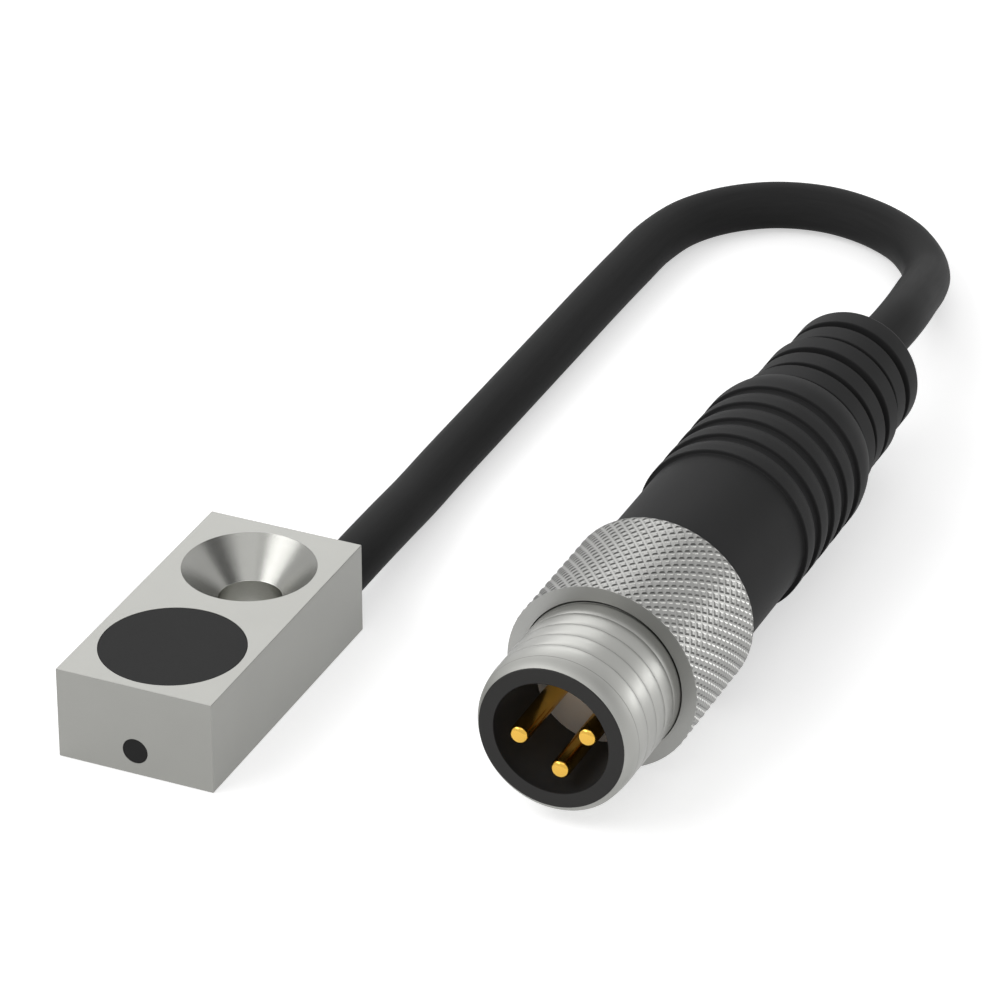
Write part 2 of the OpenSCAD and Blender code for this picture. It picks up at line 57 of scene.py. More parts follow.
# %% Make the camera
MM = 0.001
CAMERA_PLACE = Vector((107.212, -208.669, 142.077)) * MM
CAMERA_AZIMUTH = math.radians(24.284)
CAMERA_ELEVATION = math.radians(29.726)
CAMERA_ROLL = math.radians(-0.131)
CAMERA_LENS = 206.015

back = Vector((math.sin(CAMERA_AZIMUTH) * math.cos(CAMERA_ELEVATION),
               -math.cos(CAMERA_AZIMUTH) * math.cos(CAMERA_ELEVATION),
               math.sin(CAMERA_ELEVATION)))
level = Vector((math.cos(CAMERA_AZIMUTH), math.sin(CAMERA_AZIMUTH), 0))
upright = back.cross(level)
right = level * math.cos(CAMERA_ROLL) + upright * math.sin(CAMERA_ROLL)
up = upright * math.cos(CAMERA_ROLL) - level * math.sin(CAMERA_ROLL)

camera_data = bpy.data.cameras.new("camera")
camera_data.lens = CAMERA_LENS
camera_data.sensor_width = 36
camera_data.clip_start = 0.01
camera_data.clip_end = 10
camera = bpy.data.objects.new("camera", camera_data)
turn = Matrix((right, up, back)).transposed().to_4x4()
camera.matrix_world = Matrix.Translation(CAMERA_PLACE) @ turn
bpy.context.scene.collection.objects.link(camera)
bpy.context.scene.camera = camera
print("camera looks from", tuple(round(x, 3) for x in back))

# %% [markdown]
# ## Writing nodes as sums
#
# A material is a graph of nodes, and a graph that is clicked together is hard to read in a
# script. One small class holds a socket and gives it Python's operators. A sum of two
# sockets then adds a Math node, and 1 - mask works because of the form __rsub__.
# The same class serves Geometry Nodes, because both kinds of tree share their Math nodes.

# %% A socket that can be reckoned with
class Wire:
    """One output socket of a node tree, with Python's operators."""

    def __init__(self, tree, socket=None):
        self.tree = tree
        self.socket = socket

    def node(self, kind, settings=None, sockets=None, out=0):
        """Adds any node: its settings come first, then its sockets' values or links."""
        made = self.tree.nodes.new(kind)
        for name, value in (settings or {}).items():
            setattr(made, name, value)
        for name, value in (sockets or {}).items():
            if isinstance(value, Wire):
                self.tree.links.new(value.socket, made.inputs[name])
            else:
                made.inputs[name].default_value = value
        return Wire(self.tree, made.outputs[out])

    def math(self, operation, first, second=0.0):
        """A Math node on one or two values, each a wire or a number."""
        return self.node("ShaderNodeMath", {"operation": operation}, {0: first, 1: second})

    def __add__(self, other):
        return self.math("ADD", self, other)

    def __sub__(self, other):
        return self.math("SUBTRACT", self, other)

    def __rsub__(self, other):
        return self.math("SUBTRACT", other, self)

    def __mul__(self, other):
        return self.math("MULTIPLY", self, other)

    def __truediv__(self, other):
        return self.math("DIVIDE", self, other)

    def at_least(self, value):
        return self.math("MAXIMUM", self, value)

    def at_most(self, value):
        return self.math("MINIMUM", self, value)

    def above(self, value):
        return self.math("GREATER_THAN", self, value)

    def below(self, value):
        return self.math("LESS_THAN", self, value)

    def between(self, low, high):
        """Stretches a value of 0 to 1 to run from low to high."""
        return self * (high - low) + low

    def beside(self, out):
        """Another output of the same node."""
        return Wire(self.tree, self.socket.node.outputs[out])

    def axes(self):
        """The x, y and z of a place or a normal."""
        x = self.node("ShaderNodeSeparateXYZ", None, {0: self})
        return x, x.beside(1), x.beside(2)


print("Wire is ready")

# %% [markdown]
# ## The finishes
#
# Each finish starts from a Principled BSDF. Metal that was blasted or plated isn't smooth:
# a fine bump breaks up its highlight, and its roughness drifts a little over the surface.
# All patterns but the lines on the lead read Object coordinates, which are metres here, so
# a scale of 16000 means grains of about a sixteenth of a millimetre.

# %% Helpers for the finishes
def start_finish(name, color, metallic, roughness, specular=0.5):
    """A new material, and the place on the piece in metres."""
    material = bpy.data.materials.new(name)
    material.use_nodes = True
    shader = material.node_tree.nodes["Principled BSDF"]
    shader.inputs["Base Color"].default_value = (*color, 1)
    shader.inputs["Metallic"].default_value = metallic
    shader.inputs["Roughness"].default_value = roughness
    shader.inputs["Specular IOR Level"].default_value = specular
    return material, Wire(material.node_tree).node("ShaderNodeTexCoord", out="Object")


def end_finish(material, rough, color, normal):
    """Links the wires of a finish to its shader, and gives the material back."""
    tree = material.node_tree
    shader = tree.nodes["Principled BSDF"]
    for name, wire in (("Roughness", rough), ("Base Color", color), ("Normal", normal)):
        tree.links.new(wire.socket, shader.inputs[name])
    return material


def grain(place, scale, detail=2.0, rough=0.5):
    """Noise between 0 and 1, its grains 1 / scale metres across."""
    return place.node("ShaderNodeTexNoise", {"noise_dimensions": "3D"},
                      {"Vector": place, "Scale": scale, "Detail": detail, "Roughness": rough})


def metal_grain(place):
    """The fine grains of blasted or plated metal."""
    return grain(place, 16000, 3.0, 0.6)


def moulded_grain(place, size):
    """The spark-eroded grains of a mould, of a size in millimetres."""
    return grain(place, 1 / (size * MM), 2.0, 0.55)


def bumped(height, strength, distance=0.02 * MM):
    """A normal that follows the height, which the distance turns into metres."""
    return height.node("ShaderNodeBump", None,
                       {"Height": height, "Strength": strength, "Distance": distance})


def tinted(factor, first, second):
    """A colour between two, by a factor from 0 to 1."""
    node = factor.node("ShaderNodeMix", {"data_type": "RGBA"}, {"Factor": factor}).socket.node
    colors = [s for s in node.inputs if s.type == "RGBA"]
    colors[0].default_value = (*first, 1)
    colors[1].default_value = (*second, 1)
    return Wire(factor.tree, [s for s in node.outputs if s.type == "RGBA"][0])


print("helpers for finishes are ready")

# %% [markdown]
# Some finishes follow a shape, such as the painted shade at the root of the thread. The
# sizes that they share with the shapes are written once, here, in millimetres.

# %% Sizes that finishes and shapes share
BLOCK_H = 4.7
HOLE_R = 1.55
SINK_R = 3.25
PLUG_X = 19.3
PLUG_Y = -8.25
PLUG_Z = 4.75
SHROUD_BORE = 2.83
THREAD_PITCH = 1.0
THREAD_PHASE = 0.91
THREAD_START = 1.3
KNURL_START = 5.7


def from_axis(first, second):
    """The distance from an axis, by the places across it."""
    squares = first * first + second * second
    return squares.math("SQRT", squares)


def plug_axes(place):
    """How far a place is across, behind and above the centre of the plug's front."""
    x, y, z = place.axes()
    return x - PLUG_X * MM, y - PLUG_Y * MM, z - PLUG_Z * MM


print("centre of the plug's front:", (PLUG_X, PLUG_Y, PLUG_Z))

# %% [markdown]
# ## Metals
#
# The block is blasted and plated, and a cutter turned its countersink bright. An image
# could carry that, but a mask by the distance from the hole's axis stays sharp at any
# size. The painted light on the hole's wall, the painted shade in the thread's root and
# the painted highlights and shade on the knurl's walls are sums of the same kind.

# %% Metals
RIM = 0.005
CUTTER_FEED = 0.045
LINE_HALF = 0.022
LINE_FROM = 0.2
LINE_FROM_R = 3.8
TAPER_L = 0.8
FRONT_SKIN = 0.015


def satin_metal(name, color, roughness):
    """Fine blasted or plated metal: small grains, and a slow drift of tone."""
    material, place = start_finish(name, color, 1.0, roughness)
    fine = metal_grain(place)
    slow = grain(place, 420)
    rough = (fine * 0.5 + slow * 0.5).between(roughness - 0.05, roughness + 0.06)
    dark = tuple(c * 0.93 for c in color)
    light = tuple(c * 1.05 for c in color)
    return end_finish(material, rough, tinted(slow, dark, light), bumped(fine, 0.12))


def block_metal():
    """The block's satin metal, with the countersink turned bright by a cutter, and painted light
    on the fixing hole's wall.
    """
    material, place = start_finish("block_metal", (0.365, 0.365, 0.346), 1.0, 0.42)
    x, y, height = place.axes()
    radius = from_axis(x, y)
    turned_zone = radius.below((SINK_R - RIM) * MM) * height.below((BLOCK_H - RIM) * MM)
    # Painted light: the wall of the fixing hole is painted lighter, where the hole is in shade.
    bore_painted_light = radius.below((HOLE_R + 2 * RIM) * MM)
    fine = metal_grain(place)
    rough = fine.between(0.38, 0.46) * (1 - turned_zone) + turned_zone * 0.24
    tone = grain(place, 380).between(0.304, 0.322) * (1 - turned_zone)
    tone = tone + turned_zone * 0.30 + bore_painted_light * 0.2
    rings = radius.math("SINE", radius * (2 * math.pi / (CUTTER_FEED * MM)))
    surface = fine * (1 - turned_zone) * 0.5 + turned_zone * rings * 0.25
    return end_finish(material, rough, tinted(tone, (0, 0, 0), (1, 1, 0.947)),
                      bumped(surface, 0.25))


def thread_metal():
    """Plated metal of the screw sleeve: a fine line at the thread's root, with a bump and painted
    shade, and a dull taper.
    """
    material, place = start_finish("thread_metal", (0.42, 0.42, 0.40), 1.0, 0.36)
    across, along, height = plug_axes(place)
    share = place.math("ARCTAN2", height, across) / (2 * math.pi)
    turn_place = along / (THREAD_PITCH * MM) + share - THREAD_PHASE
    part = place.math("FRACT", turn_place + 10)
    line = (1 - part.at_most(1 - part) / LINE_HALF).at_least(0.0)
    line = line * from_axis(across, height).above(LINE_FROM_R * MM)
    line = line * along.above(LINE_FROM * MM)
    fine = metal_grain(place)
    front = ((THREAD_START * MM - along) / (TAPER_L * MM)).at_least(0.0).at_most(1.0)
    rough = fine.between(0.32, 0.42) + line * 0.2 + front * 0.18
    # Painted shade: the line at the thread's root makes the colour darker.
    tone = (grain(place, 420).between(0.75, 1.0) - line * 0.55).at_least(0.0)
    color = tinted(tone, (0.09, 0.09, 0.0855), (0.405, 0.405, 0.386))
    return end_finish(material, rough, color, bumped(fine * 0.12 - line, 0.6))


def knurl_metal():
    """Plated metal of the ring, with painted highlight and painted shade on its studs' walls.

    The attribute "facing" is 1 where a wall faces the light, and -1 where it faces away; it makes
    the colour lighter or darker.
    """
    material, place = start_finish("knurl_metal", (0.30, 0.30, 0.29), 1.0, 0.42)
    _, along, _ = plug_axes(place)
    front_face_painted_light = along.below((KNURL_START + FRONT_SKIN) * MM)
    facing = place.node("ShaderNodeAttribute", {"attribute_name": "facing"}, out="Fac")
    lit = (facing * 1.5 - 0.5).at_least(0.0)
    shaded = (0.0 - facing).at_least(0.0)
    fine = metal_grain(place)
    # Painted light: the ring's front face is painted a little lighter.
    tone = grain(place, 420).between(0.29, 0.32) + front_face_painted_light * 0.045
    # Painted highlight on walls that face the light, and painted shade on those that face away.
    tone = tone + lit * 0.66 - shaded * 0.21
    return end_finish(material, fine.between(0.35, 0.43) - lit * 0.12,
                      tinted(tone, (0, 0, 0), (1, 1, 0.967)), bumped(fine, 0.06))


finishes = {
    "block": block_metal(),
    "thread": thread_metal(),
    "knurl": knurl_metal(),
    "ferrule": satin_metal("ferrule_metal", (0.50, 0.50, 0.48), 0.3),
    "spring": satin_metal("spring_steel", (0.50, 0.50, 0.50), 0.25),
}
print("metals:", sorted(finishes))

# %% [markdown]
# Gold plating on contacts is smooth and thin. Its colour is nearly all in the reflection,
# so the base colour is a deep yellow and the roughness stays low.

# %% Gold and copper
def plated(name, color, roughness):
    """Smooth drawn or plated metal."""
    material, place = start_finish(name, color, 1.0, roughness)
    drawn = grain(place, 9000)
    dark = tuple(c * 0.92 for c in color)
    return end_finish(material, drawn.between(roughness - 0.04, roughness + 0.08),
                      tinted(grain(place, 900), dark, color), bumped(drawn, 0.05, 0.01 * MM))


finishes["gold"] = plated("gold", (0.76, 0.455, 0.082), 0.16)
finishes["copper"] = plated("copper", (0.82, 0.42, 0.25), 0.25)
print("plated metals made")

# %% [markdown]
# The plastics differ only in colour, grain and gloss, so one function makes them all from
# a row of values each. Only the shroud has its own, because its inside is smoother, with
# painted shade at the mouth and painted light deeper in.

# %% Plastics, rubber and ferrite
def moulded(name, color, roughness, grain_size, strength, specular=0.4):
    """Moulded plastic or rubber: a fine spark-eroded grain and a slight drift of tone."""
    material, place = start_finish(name, color, 0.0, roughness, specular)
    fine = moulded_grain(place, grain_size)
    dark = tuple(c * 0.85 for c in color)
    return end_finish(material, fine.between(roughness - 0.06, roughness + 0.06),
                      tinted(grain(place, 300), dark, color), bumped(fine, strength))


BORE_SKIN = 0.03


def shroud_black():
    """The shroud's black plastic. Its inside is smoother, with painted shade darkest at the mouth
    and painted light deeper in.
    """
    material, place = start_finish("shroud_black", (0.045, 0.045, 0.045), 0.0, 0.5, 0.07)
    across, along, height = plug_axes(place)
    inside = from_axis(across, height).below((SHROUD_BORE + BORE_SKIN) * MM)
    depth = along.at_least(0.0) / MM
    fine = moulded_grain(place, 0.08)
    # Painted shade and light in the bore: darker at the mouth, and lighter the deeper it goes.
    tone = grain(place, 300).between(0.042, 0.048) + inside * (depth * 0.016 - 0.028)
    return end_finish(material, fine.between(0.44, 0.56) - inside * 0.1,
                      tinted(tone, (0, 0, 0), (1, 0.98, 0.96)), bumped(fine, 0.05))


finishes["shroud"] = shroud_black()

# A row has the name, colour, roughness, grain in millimetres, bump and sometimes shine.
MOULDED = {
    "cap": ("cap_black", (0.0245, 0.0245, 0.0245), 0.55, 0.08, 0.05, 0.07),
    "grip": ("grip_black", (0.033, 0.033, 0.0334), 0.5, 0.06, 0.08, 0.03),
    # The contact disc is painted far lighter than its own grey, as painted light where it sits in
    # shade at the bottom of the shroud.
    "holder": ("holder_painted_light", (0.96, 0.89, 0.82), 0.55, 0.06, 0.10),
    "natural": ("natural_plastic", (0.72, 0.70, 0.62), 0.5, 0.08, 0.08),
    "ferrite": ("ferrite", (0.05, 0.05, 0.055), 0.6, 0.03, 0.3),
    "board": ("board_green", (0.03, 0.16, 0.06), 0.4, 0.15, 0.05),
    "chip": ("chip_black", (0.02, 0.02, 0.022), 0.6, 0.03, 0.2),
    "passive": ("passive_tan", (0.42, 0.30, 0.17), 0.5, 0.05, 0.1),
    "resin": ("resin", (0.05, 0.05, 0.06), 0.3, 0.3, 0.04),
    "lead_brown": ("lead_brown", (0.10, 0.045, 0.02), 0.45, 0.1, 0.05),
    "lead_black": ("lead_black", (0.02, 0.02, 0.02), 0.45, 0.1, 0.05),
    "lead_blue": ("lead_blue", (0.02, 0.07, 0.30), 0.45, 0.1, 0.05),
}
for key, row in MOULDED.items():
    finishes[key] = moulded(*row)
print("finishes so far:", len(finishes))

# %% [markdown]
# The jacket of the lead is pressed through a round die, which leaves faint lines along it.
# They follow the lead round its bends, so this finish reads the piece's own UV map: U goes
# round the jacket and V along it.

# %% The jacket of the lead
def jacket():
    """The lead's black jacket: lines along it, and a fine grain."""
    material, place = start_finish("cable_jacket", (0.029, 0.029, 0.0292), 0.0, 0.5, 0.02)
    stretched = place.node("ShaderNodeMapping", None, {
        "Vector": place.beside("UV"), "Scale": (26.0, 1.6, 1.0)})
    lines = grain(stretched, 1.0, 3.0, 0.6)
    surface = lines * 0.7 + grain(place, 14000) * 0.3
    return end_finish(material, lines.between(0.42, 0.60),
                      tinted(lines, (0.023, 0.023, 0.0232), (0.035, 0.035, 0.0352)),
                      bumped(surface, 0.12, 0.04 * MM))


finishes["cable"] = jacket()
print("jacket made")

# %% [markdown]
# ## Dressing the solids
#
# Every node of the frame has a place, so the hidden ones only need their finish. It goes
# into the node's material slot, and the mesh is left alone.

# %% Give each node of the frame its finish
NODE_FINISH = {
    "housing": "block", "sensing_cap": "cap", "ferrite_core": "ferrite",
    "coil_bobbin": "natural", "coil_winding": "copper", "circuit_board": "board",
    "oscillator_chip": "chip", "output_driver": "chip", "board_passives": "passive",
    "resin_fill": "resin", "filler_plug": "cap", "cable_ferrule": "ferrule",
    "cable": "cable", "grip": "grip", "inner_mould": "natural",
    "contact_carrier": "shroud", "contact_holder": "holder", "retaining_ring": "spring",
    "threaded_sleeve": "thread", "knurled_ring": "knurl",
}
for color in ("brown", "black", "blue"):
    NODE_FINISH["head_lead_" + color] = "lead_" + color
    NODE_FINISH["plug_lead_" + color] = "lead_" + color
    NODE_FINISH["pin_" + color] = "gold"
for node, finish in NODE_FINISH.items():
    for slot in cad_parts[node].material_slots:
        slot.material = finishes[finish]
print("nodes dressed:", len(NODE_FINISH), "of", len(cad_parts))

# %% [markdown]
# ## The lead
#
# The lead leaves the block, comes down to the floor, runs back, bends round and rises to
# the plug, which lies on its ring. A curve object would do, but the solid follows given
# points, so the jacket is swept here along a smooth line through the same points. Each
# ring of the tube is carried on from the last one, so that the tube doesn't twist.

# %% The route of the lead
CABLE_R = 1.275
ROUTE = [
    (2.45, 2.3, 2.2), (2.45, 4.5, 2.2), (2.4, 7.5, 2.15), (2.2, 11, 1.85),
    (1.95, 14.5, 1.45), (1.8, 18, 1.3), (1.8, 23, 1.3), (1.8, 28, 1.3),
    (1.8, 33, 1.3), (1.8, 38, 1.3), (1.85, 42, 1.3), (1.95, 45, 1.3),
    (2.6, 47.9, 1.3), (4.1, 50.2, 1.3), (6.3, 51.8, 1.3), (9, 52.4, 1.3),
    (11.7, 51.9, 1.3), (14.1, 50.6, 1.3), (15.8, 48.7, 1.4), (16.9, 46.6, 1.7),
    (17.6, 44.3, 2.3), (18.2, 41.5, 3.1), (18.8, 38.5, 3.9), (19.2, 35.7, 4.5),
    (19.3, 33, 4.75), (19.3, 29, 4.75), (19.3, 19, 4.75), (19.3, 9, 4.75)]


def smooth_line(points, parts):
    """A line through the points that turns smoothly, with some parts for each stretch."""
    line = []
    for i in range(len(points) - 1):
        p0 = points[max(i - 1, 0)]
        p1 = points[i]
        p2 = points[i + 1]
        p3 = points[min(i + 2, len(points) - 1)]
        span = (p2 - p1).length
        before = (p1 - p0).length or span
        after = (p3 - p2).length or span
        pull1 = ((p1 - p0) / before + (p2 - p1) / span) * 0.5 * span
        pull2 = ((p2 - p1) / span + (p3 - p2) / after) * 0.5 * span
        if i == 0:
            pull1 = p2 - p1
        if p3 == p2:
            pull2 = p2 - p1
        for k in range(parts):
            t = k / parts
            line.append(p1 * (2 * t**3 - 3 * t**2 + 1) + pull1 * (t**3 - 2 * t**2 + t)
                        + p2 * (3 * t**2 - 2 * t**3) + pull2 * (t**3 - t**2))
    line.append(points[-1])
    return line


ROUTE_PARTS = 8
cable_line = smooth_line([Vector(p) * MM for p in ROUTE], ROUTE_PARTS)
cable_length = sum((b - a).length for a, b in zip(cable_line, cable_line[1:]))
print(f"length of the lead: {cable_length / MM:.1f} mm")


# %% The jacket's mesh
def new_piece(name, bm, material):
    """Turns a bmesh into an object at the origin, with its normals outwards."""
    bmesh.ops.recalc_face_normals(bm, faces=bm.faces)
    mesh = bpy.data.meshes.new(name)
    bm.to_mesh(mesh)
    bm.free()
    mesh.materials.append(material)
    piece = bpy.data.objects.new(name, mesh)
    bpy.context.scene.collection.objects.link(piece)
    return piece


def smooth_by_angle(piece, degrees):
    """Smooth shading, with a hard edge wherever two faces meet at more than the angle."""
    mesh = piece.data
    mesh.polygons.foreach_set("use_smooth", [True] * len(mesh.polygons))
    mesh.set_sharp_from_angle(angle=math.radians(degrees))


CABLE_SIDES = 40
UV_STEP = 8


def swept_tube(name, line, radius, sides, material):
    """A tube along a line. V rises by 1 with each UV_STEP millimetres of its length."""
    bm = bmesh.new()
    uv = bm.loops.layers.uv.new("UVMap")
    heading = (line[1] - line[0]).normalized()
    side = heading.orthogonal().normalized()
    rings = []
    run = [0.0]
    turns = [2 * math.pi * k / sides for k in range(sides)]
    for i, point in enumerate(line):
        ahead = line[min(i + 1, len(line) - 1)] - line[max(i - 1, 0)]
        heading = ahead.normalized()
        side = (side - heading * side.dot(heading)).normalized()
        other = heading.cross(side)
        rings.append([bm.verts.new(point + radius * (math.cos(a) * side + math.sin(a) * other))
                      for a in turns])
        if i:
            run.append(run[-1] + (point - line[i - 1]).length)
    for j in range(len(rings) - 1):
        for k in range(sides):
            n = (k + 1) % sides
            face = bm.faces.new((rings[j][k], rings[j + 1][k], rings[j + 1][n], rings[j][n]))
            marks = ((k, j), (k, j + 1), (k + 1, j + 1), (k + 1, j))
            for loop, (u, v) in zip(face.loops, marks):
                loop[uv].uv = (u / sides, run[v] / (UV_STEP * MM))
    bm.faces.new(reversed(rings[0]))
    bm.faces.new(rings[-1])
    return new_piece(name, bm, material)


cable = swept_tube("lead_jacket", cable_line, CABLE_R * MM, CABLE_SIDES, finishes["cable"])
smooth_by_angle(cable, 40)
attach(cable, "root")
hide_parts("cable")
print("jacket faces:", len(cable.data.polygons))

# %% [markdown]
# ## Turned pieces
#
# The cap, the shroud, the contacts, the sleeve and the grip are all round, so each is a
# profile that goes once about its axis. The Screw modifier can do that, but a few lines of
# mesh code keep the profile's numbers in sight. Real edges are never razor sharp: a small
# arc at each corner of the profile catches a thin line of light.

# %% Helpers that turn a profile
def along_y_at(x, z, front=0):
    """Gives a function for points about an axis that runs to the back at x, z.

    A point has its distance from the axis, its angle, and its place behind the front.
    """
    def place(radius, angle, at):
        across = radius * math.cos(angle)
        return Vector((x + across, front + at, z + radius * math.sin(angle))) * MM
    return place


def upright_at(x, y):
    """The same for an axis that stands upright at x, y."""
    def place(radius, angle, at):
        return Vector((x + radius * math.cos(angle), y + radius * math.sin(angle), at)) * MM
    return place


on_plug = along_y_at(PLUG_X, PLUG_Z, PLUG_Y)
ARC_STEPS = 4
ARC_SHARE = 0.33
ARC_GUARD = 1.4


def softened(profile, radius, least=20):
    """Puts a small arc in place of each corner that turns by the least angle or more.

    No arc takes up more than a third of the sides beside it. A guard point on each side of
    the arc keeps the shading of the flat beside it even.
    """
    soft = []
    count = len(profile)
    for i, corner in enumerate(profile):
        here = Vector(corner)
        before = Vector(profile[i - 1]) - here
        after = Vector(profile[(i + 1) % count]) - here
        straight = before.length < 1e-6 or after.length < 1e-6 or here.x < 1e-6
        if straight or math.degrees(math.pi - before.angle(after)) < least:
            soft.append(corner)
            continue
        cut = min(radius, before.length * ARC_SHARE, after.length * ARC_SHARE)
        start = here + before.normalized() * cut
        finish = here + after.normalized() * cut
        soft.append(tuple(here + before.normalized() * cut * ARC_GUARD))
        for k in range(ARC_STEPS + 1):
            t = k / ARC_STEPS
            soft.append(tuple(start * (1 - t) ** 2 + here * 2 * t * (1 - t) + finish * t**2))
        soft.append(tuple(here + after.normalized() * cut * ARC_GUARD))
    return soft


def turned(name, profile, place, segments, material, keep_open=False):
    """Turns a closed profile of radius and place about an axis.

    A profile that a rolled skin will close is kept open.
    """
    bm = bmesh.new()
    turns = [2 * math.pi * k / segments for k in range(segments)]
    rings = []
    for radius, at in profile:
        if radius < 1e-6:
            rings.append([bm.verts.new(place(0, 0, at))] * segments)
        else:
            rings.append([bm.verts.new(place(radius, a, at)) for a in turns])
    spans = len(rings) - (1 if keep_open else 0)
    for j in range(spans):
        here = rings[j]
        there = rings[(j + 1) % len(rings)]
        for k in range(segments):
            n = (k + 1) % segments
            corners = list(dict.fromkeys((here[k], there[k], there[n], here[n])))
            if len(corners) > 2:
                bm.faces.new(corners)
    bmesh.ops.remove_doubles(bm, verts=bm.verts, dist=1e-8)
    return new_piece(name, bm, material)


print("turning helpers are ready")

# %% [markdown]
# ## The sensor block
#
# The block is milled from the solid, with edges that are only just broken, and has four
# round openings: the fixing hole, and those for the cap, the resin and the lead. A box
# with a bevel and boolean cuts gives exactly that. The cutters are turned pieces
# themselves. The result is baked to a plain mesh, and the modifiers go.

# %% Sizes of the block
BLOCK_W = 8
BLOCK_FRONT = -12
BLOCK_REAR = 4
EDGE = 0.025
GAP = 0.02
OVER = 1
CAP_Y = -8
CAP_R = 3.475
CAP_POCKET = 0.5
CABLE_X = 2.45
CABLE_Z = 2.2
FERRULE_R = 1.405
FERRULE_HOLE_L = 1.8
FILLER_R = 0.645
FILLER_Z = 1.25
FILLER_HOLE_L = 1.5
WIDE_SIDES = 160
NARROW_SIDES = 64
print("block:", BLOCK_W, "x", BLOCK_REAR - BLOCK_FRONT, "x", BLOCK_H, "mm")


# %% Mill the block
def bake(piece):
    """Turns a piece and its modifiers into a plain mesh, and removes the modifiers."""
    depsgraph = bpy.context.evaluated_depsgraph_get()
    mesh = bpy.data.meshes.new_from_object(piece.evaluated_get(depsgraph))
    piece.modifiers.clear()
    piece.data = mesh
    return piece


def box_piece(name, low, high, material):
    """A box between two corners, in millimetres."""
    bm = bmesh.new()
    bmesh.ops.create_cube(bm, size=1)
    for vert in bm.verts:
        share = [vert.co[i] + 0.5 for i in range(3)]
        vert.co = Vector([(low[i] + share[i] * (high[i] - low[i])) * MM for i in range(3)])
    return new_piece(name, bm, material)


def cutter(name, profile, place, sides):
    """A turned piece that is cut out of the block."""
    return turned(name, profile, place, sides, finishes["block"])


def drill(name, radius, start, end, place, sides):
    """A plain round cutter."""
    return cutter(name, [(0, start), (radius, start), (radius, end), (0, end)], place, sides)


block = box_piece("sensor_block", (-BLOCK_W / 2, BLOCK_FRONT, 0),
                  (BLOCK_W / 2, BLOCK_REAR, BLOCK_H), finishes["block"])
bevel = block.modifiers.new("edges", "BEVEL")
bevel.width = EDGE * MM
bevel.segments = 2
bevel.limit_method = "ANGLE"

top = BLOCK_H + OVER
cutters = [
    cutter("hole_cutter", [
        (0, -OVER), (HOLE_R, -OVER), (HOLE_R, BLOCK_H - (SINK_R - HOLE_R)),
        (SINK_R, BLOCK_H), (SINK_R, top), (0, top)], upright_at(0, 0), WIDE_SIDES),
    drill("cap_cutter", CAP_R + GAP, CAP_POCKET, top, upright_at(0, CAP_Y), WIDE_SIDES),
    drill("filler_cutter", FILLER_R, BLOCK_FRONT - OVER, BLOCK_FRONT + FILLER_HOLE_L,
          along_y_at(0, FILLER_Z), NARROW_SIDES),
    drill("cable_cutter", FERRULE_R + GAP, BLOCK_REAR - FERRULE_HOLE_L, BLOCK_REAR + OVER,
          along_y_at(CABLE_X, CABLE_Z), NARROW_SIDES)]
for tool in cutters:
    cut = block.modifiers.new(tool.name, "BOOLEAN")
    cut.object = tool
    cut.operation = "DIFFERENCE"
    cut.solver = "EXACT"
bake(block)
for tool in cutters:
    bpy.data.objects.remove(tool, do_unlink=True)
smooth_by_angle(block, 15)
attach(block, "root")
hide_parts("housing")
print("block faces:", len(block.data.polygons))

# %% [markdown]
# The black cap lies flush in the block's top and covers the coil. A round spot of resin
# closes the filling hole, and a metal bush holds the lead. Each is one turned profile.

# %% The cap, the resin spot and the bush
FINE_EDGE = 0.02
MOULD_EDGE = 0.03
CAP_UNDER = 4.1
CAP_WALL = 0.3
CAP_FOOT = 0.96
cap = turned("sensing_face", softened([
    (0, CAP_UNDER), (CAP_R - CAP_WALL, CAP_UNDER), (CAP_R - CAP_WALL, CAP_FOOT),
    (CAP_R, CAP_FOOT), (CAP_R, BLOCK_H), (0, BLOCK_H)], FINE_EDGE),
    upright_at(0, CAP_Y), WIDE_SIDES, finishes["cap"])
smooth_by_angle(cap, 40)
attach(cap, "root")
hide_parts("sensing_cap")

SPOT_R = FILLER_R - 0.015
SPOT_L = 0.5
filler = turned("resin_spot", softened([
    (0, BLOCK_FRONT + SPOT_L), (SPOT_R, BLOCK_FRONT + SPOT_L), (SPOT_R, BLOCK_FRONT),
    (0, BLOCK_FRONT)], FINE_EDGE),
    along_y_at(0, FILLER_Z), NARROW_SIDES, finishes["cap"])
smooth_by_angle(filler, 40)
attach(filler, "root")
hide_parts("filler_plug")

FERRULE_L = 1.79
FERRULE_OUT = 0.15
ferrule = turned("cable_bush", softened([
    (CABLE_R + GAP, BLOCK_REAR - FERRULE_L), (FERRULE_R, BLOCK_REAR - FERRULE_L),
    (FERRULE_R, BLOCK_REAR + FERRULE_OUT), (CABLE_R + GAP, BLOCK_REAR + FERRULE_OUT)],
    MOULD_EDGE), along_y_at(CABLE_X, CABLE_Z), NARROW_SIDES, finishes["ferrule"])
smooth_by_angle(ferrule, 40)
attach(ferrule, "root")
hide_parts("cable_ferrule")
print("cap, spot and bush made")

# %% [markdown]
# ## The plug's shroud and its contacts
#
# The black shroud is the front of the moulded contact carrier. At its bottom sits a grey
# disc with the three contacts, which are turned from rod and have a domed tip. Contacts at
# equal steps round a circle are a job for Geometry Nodes: one contact is instanced on
# points of the circle, and the instances are made real.

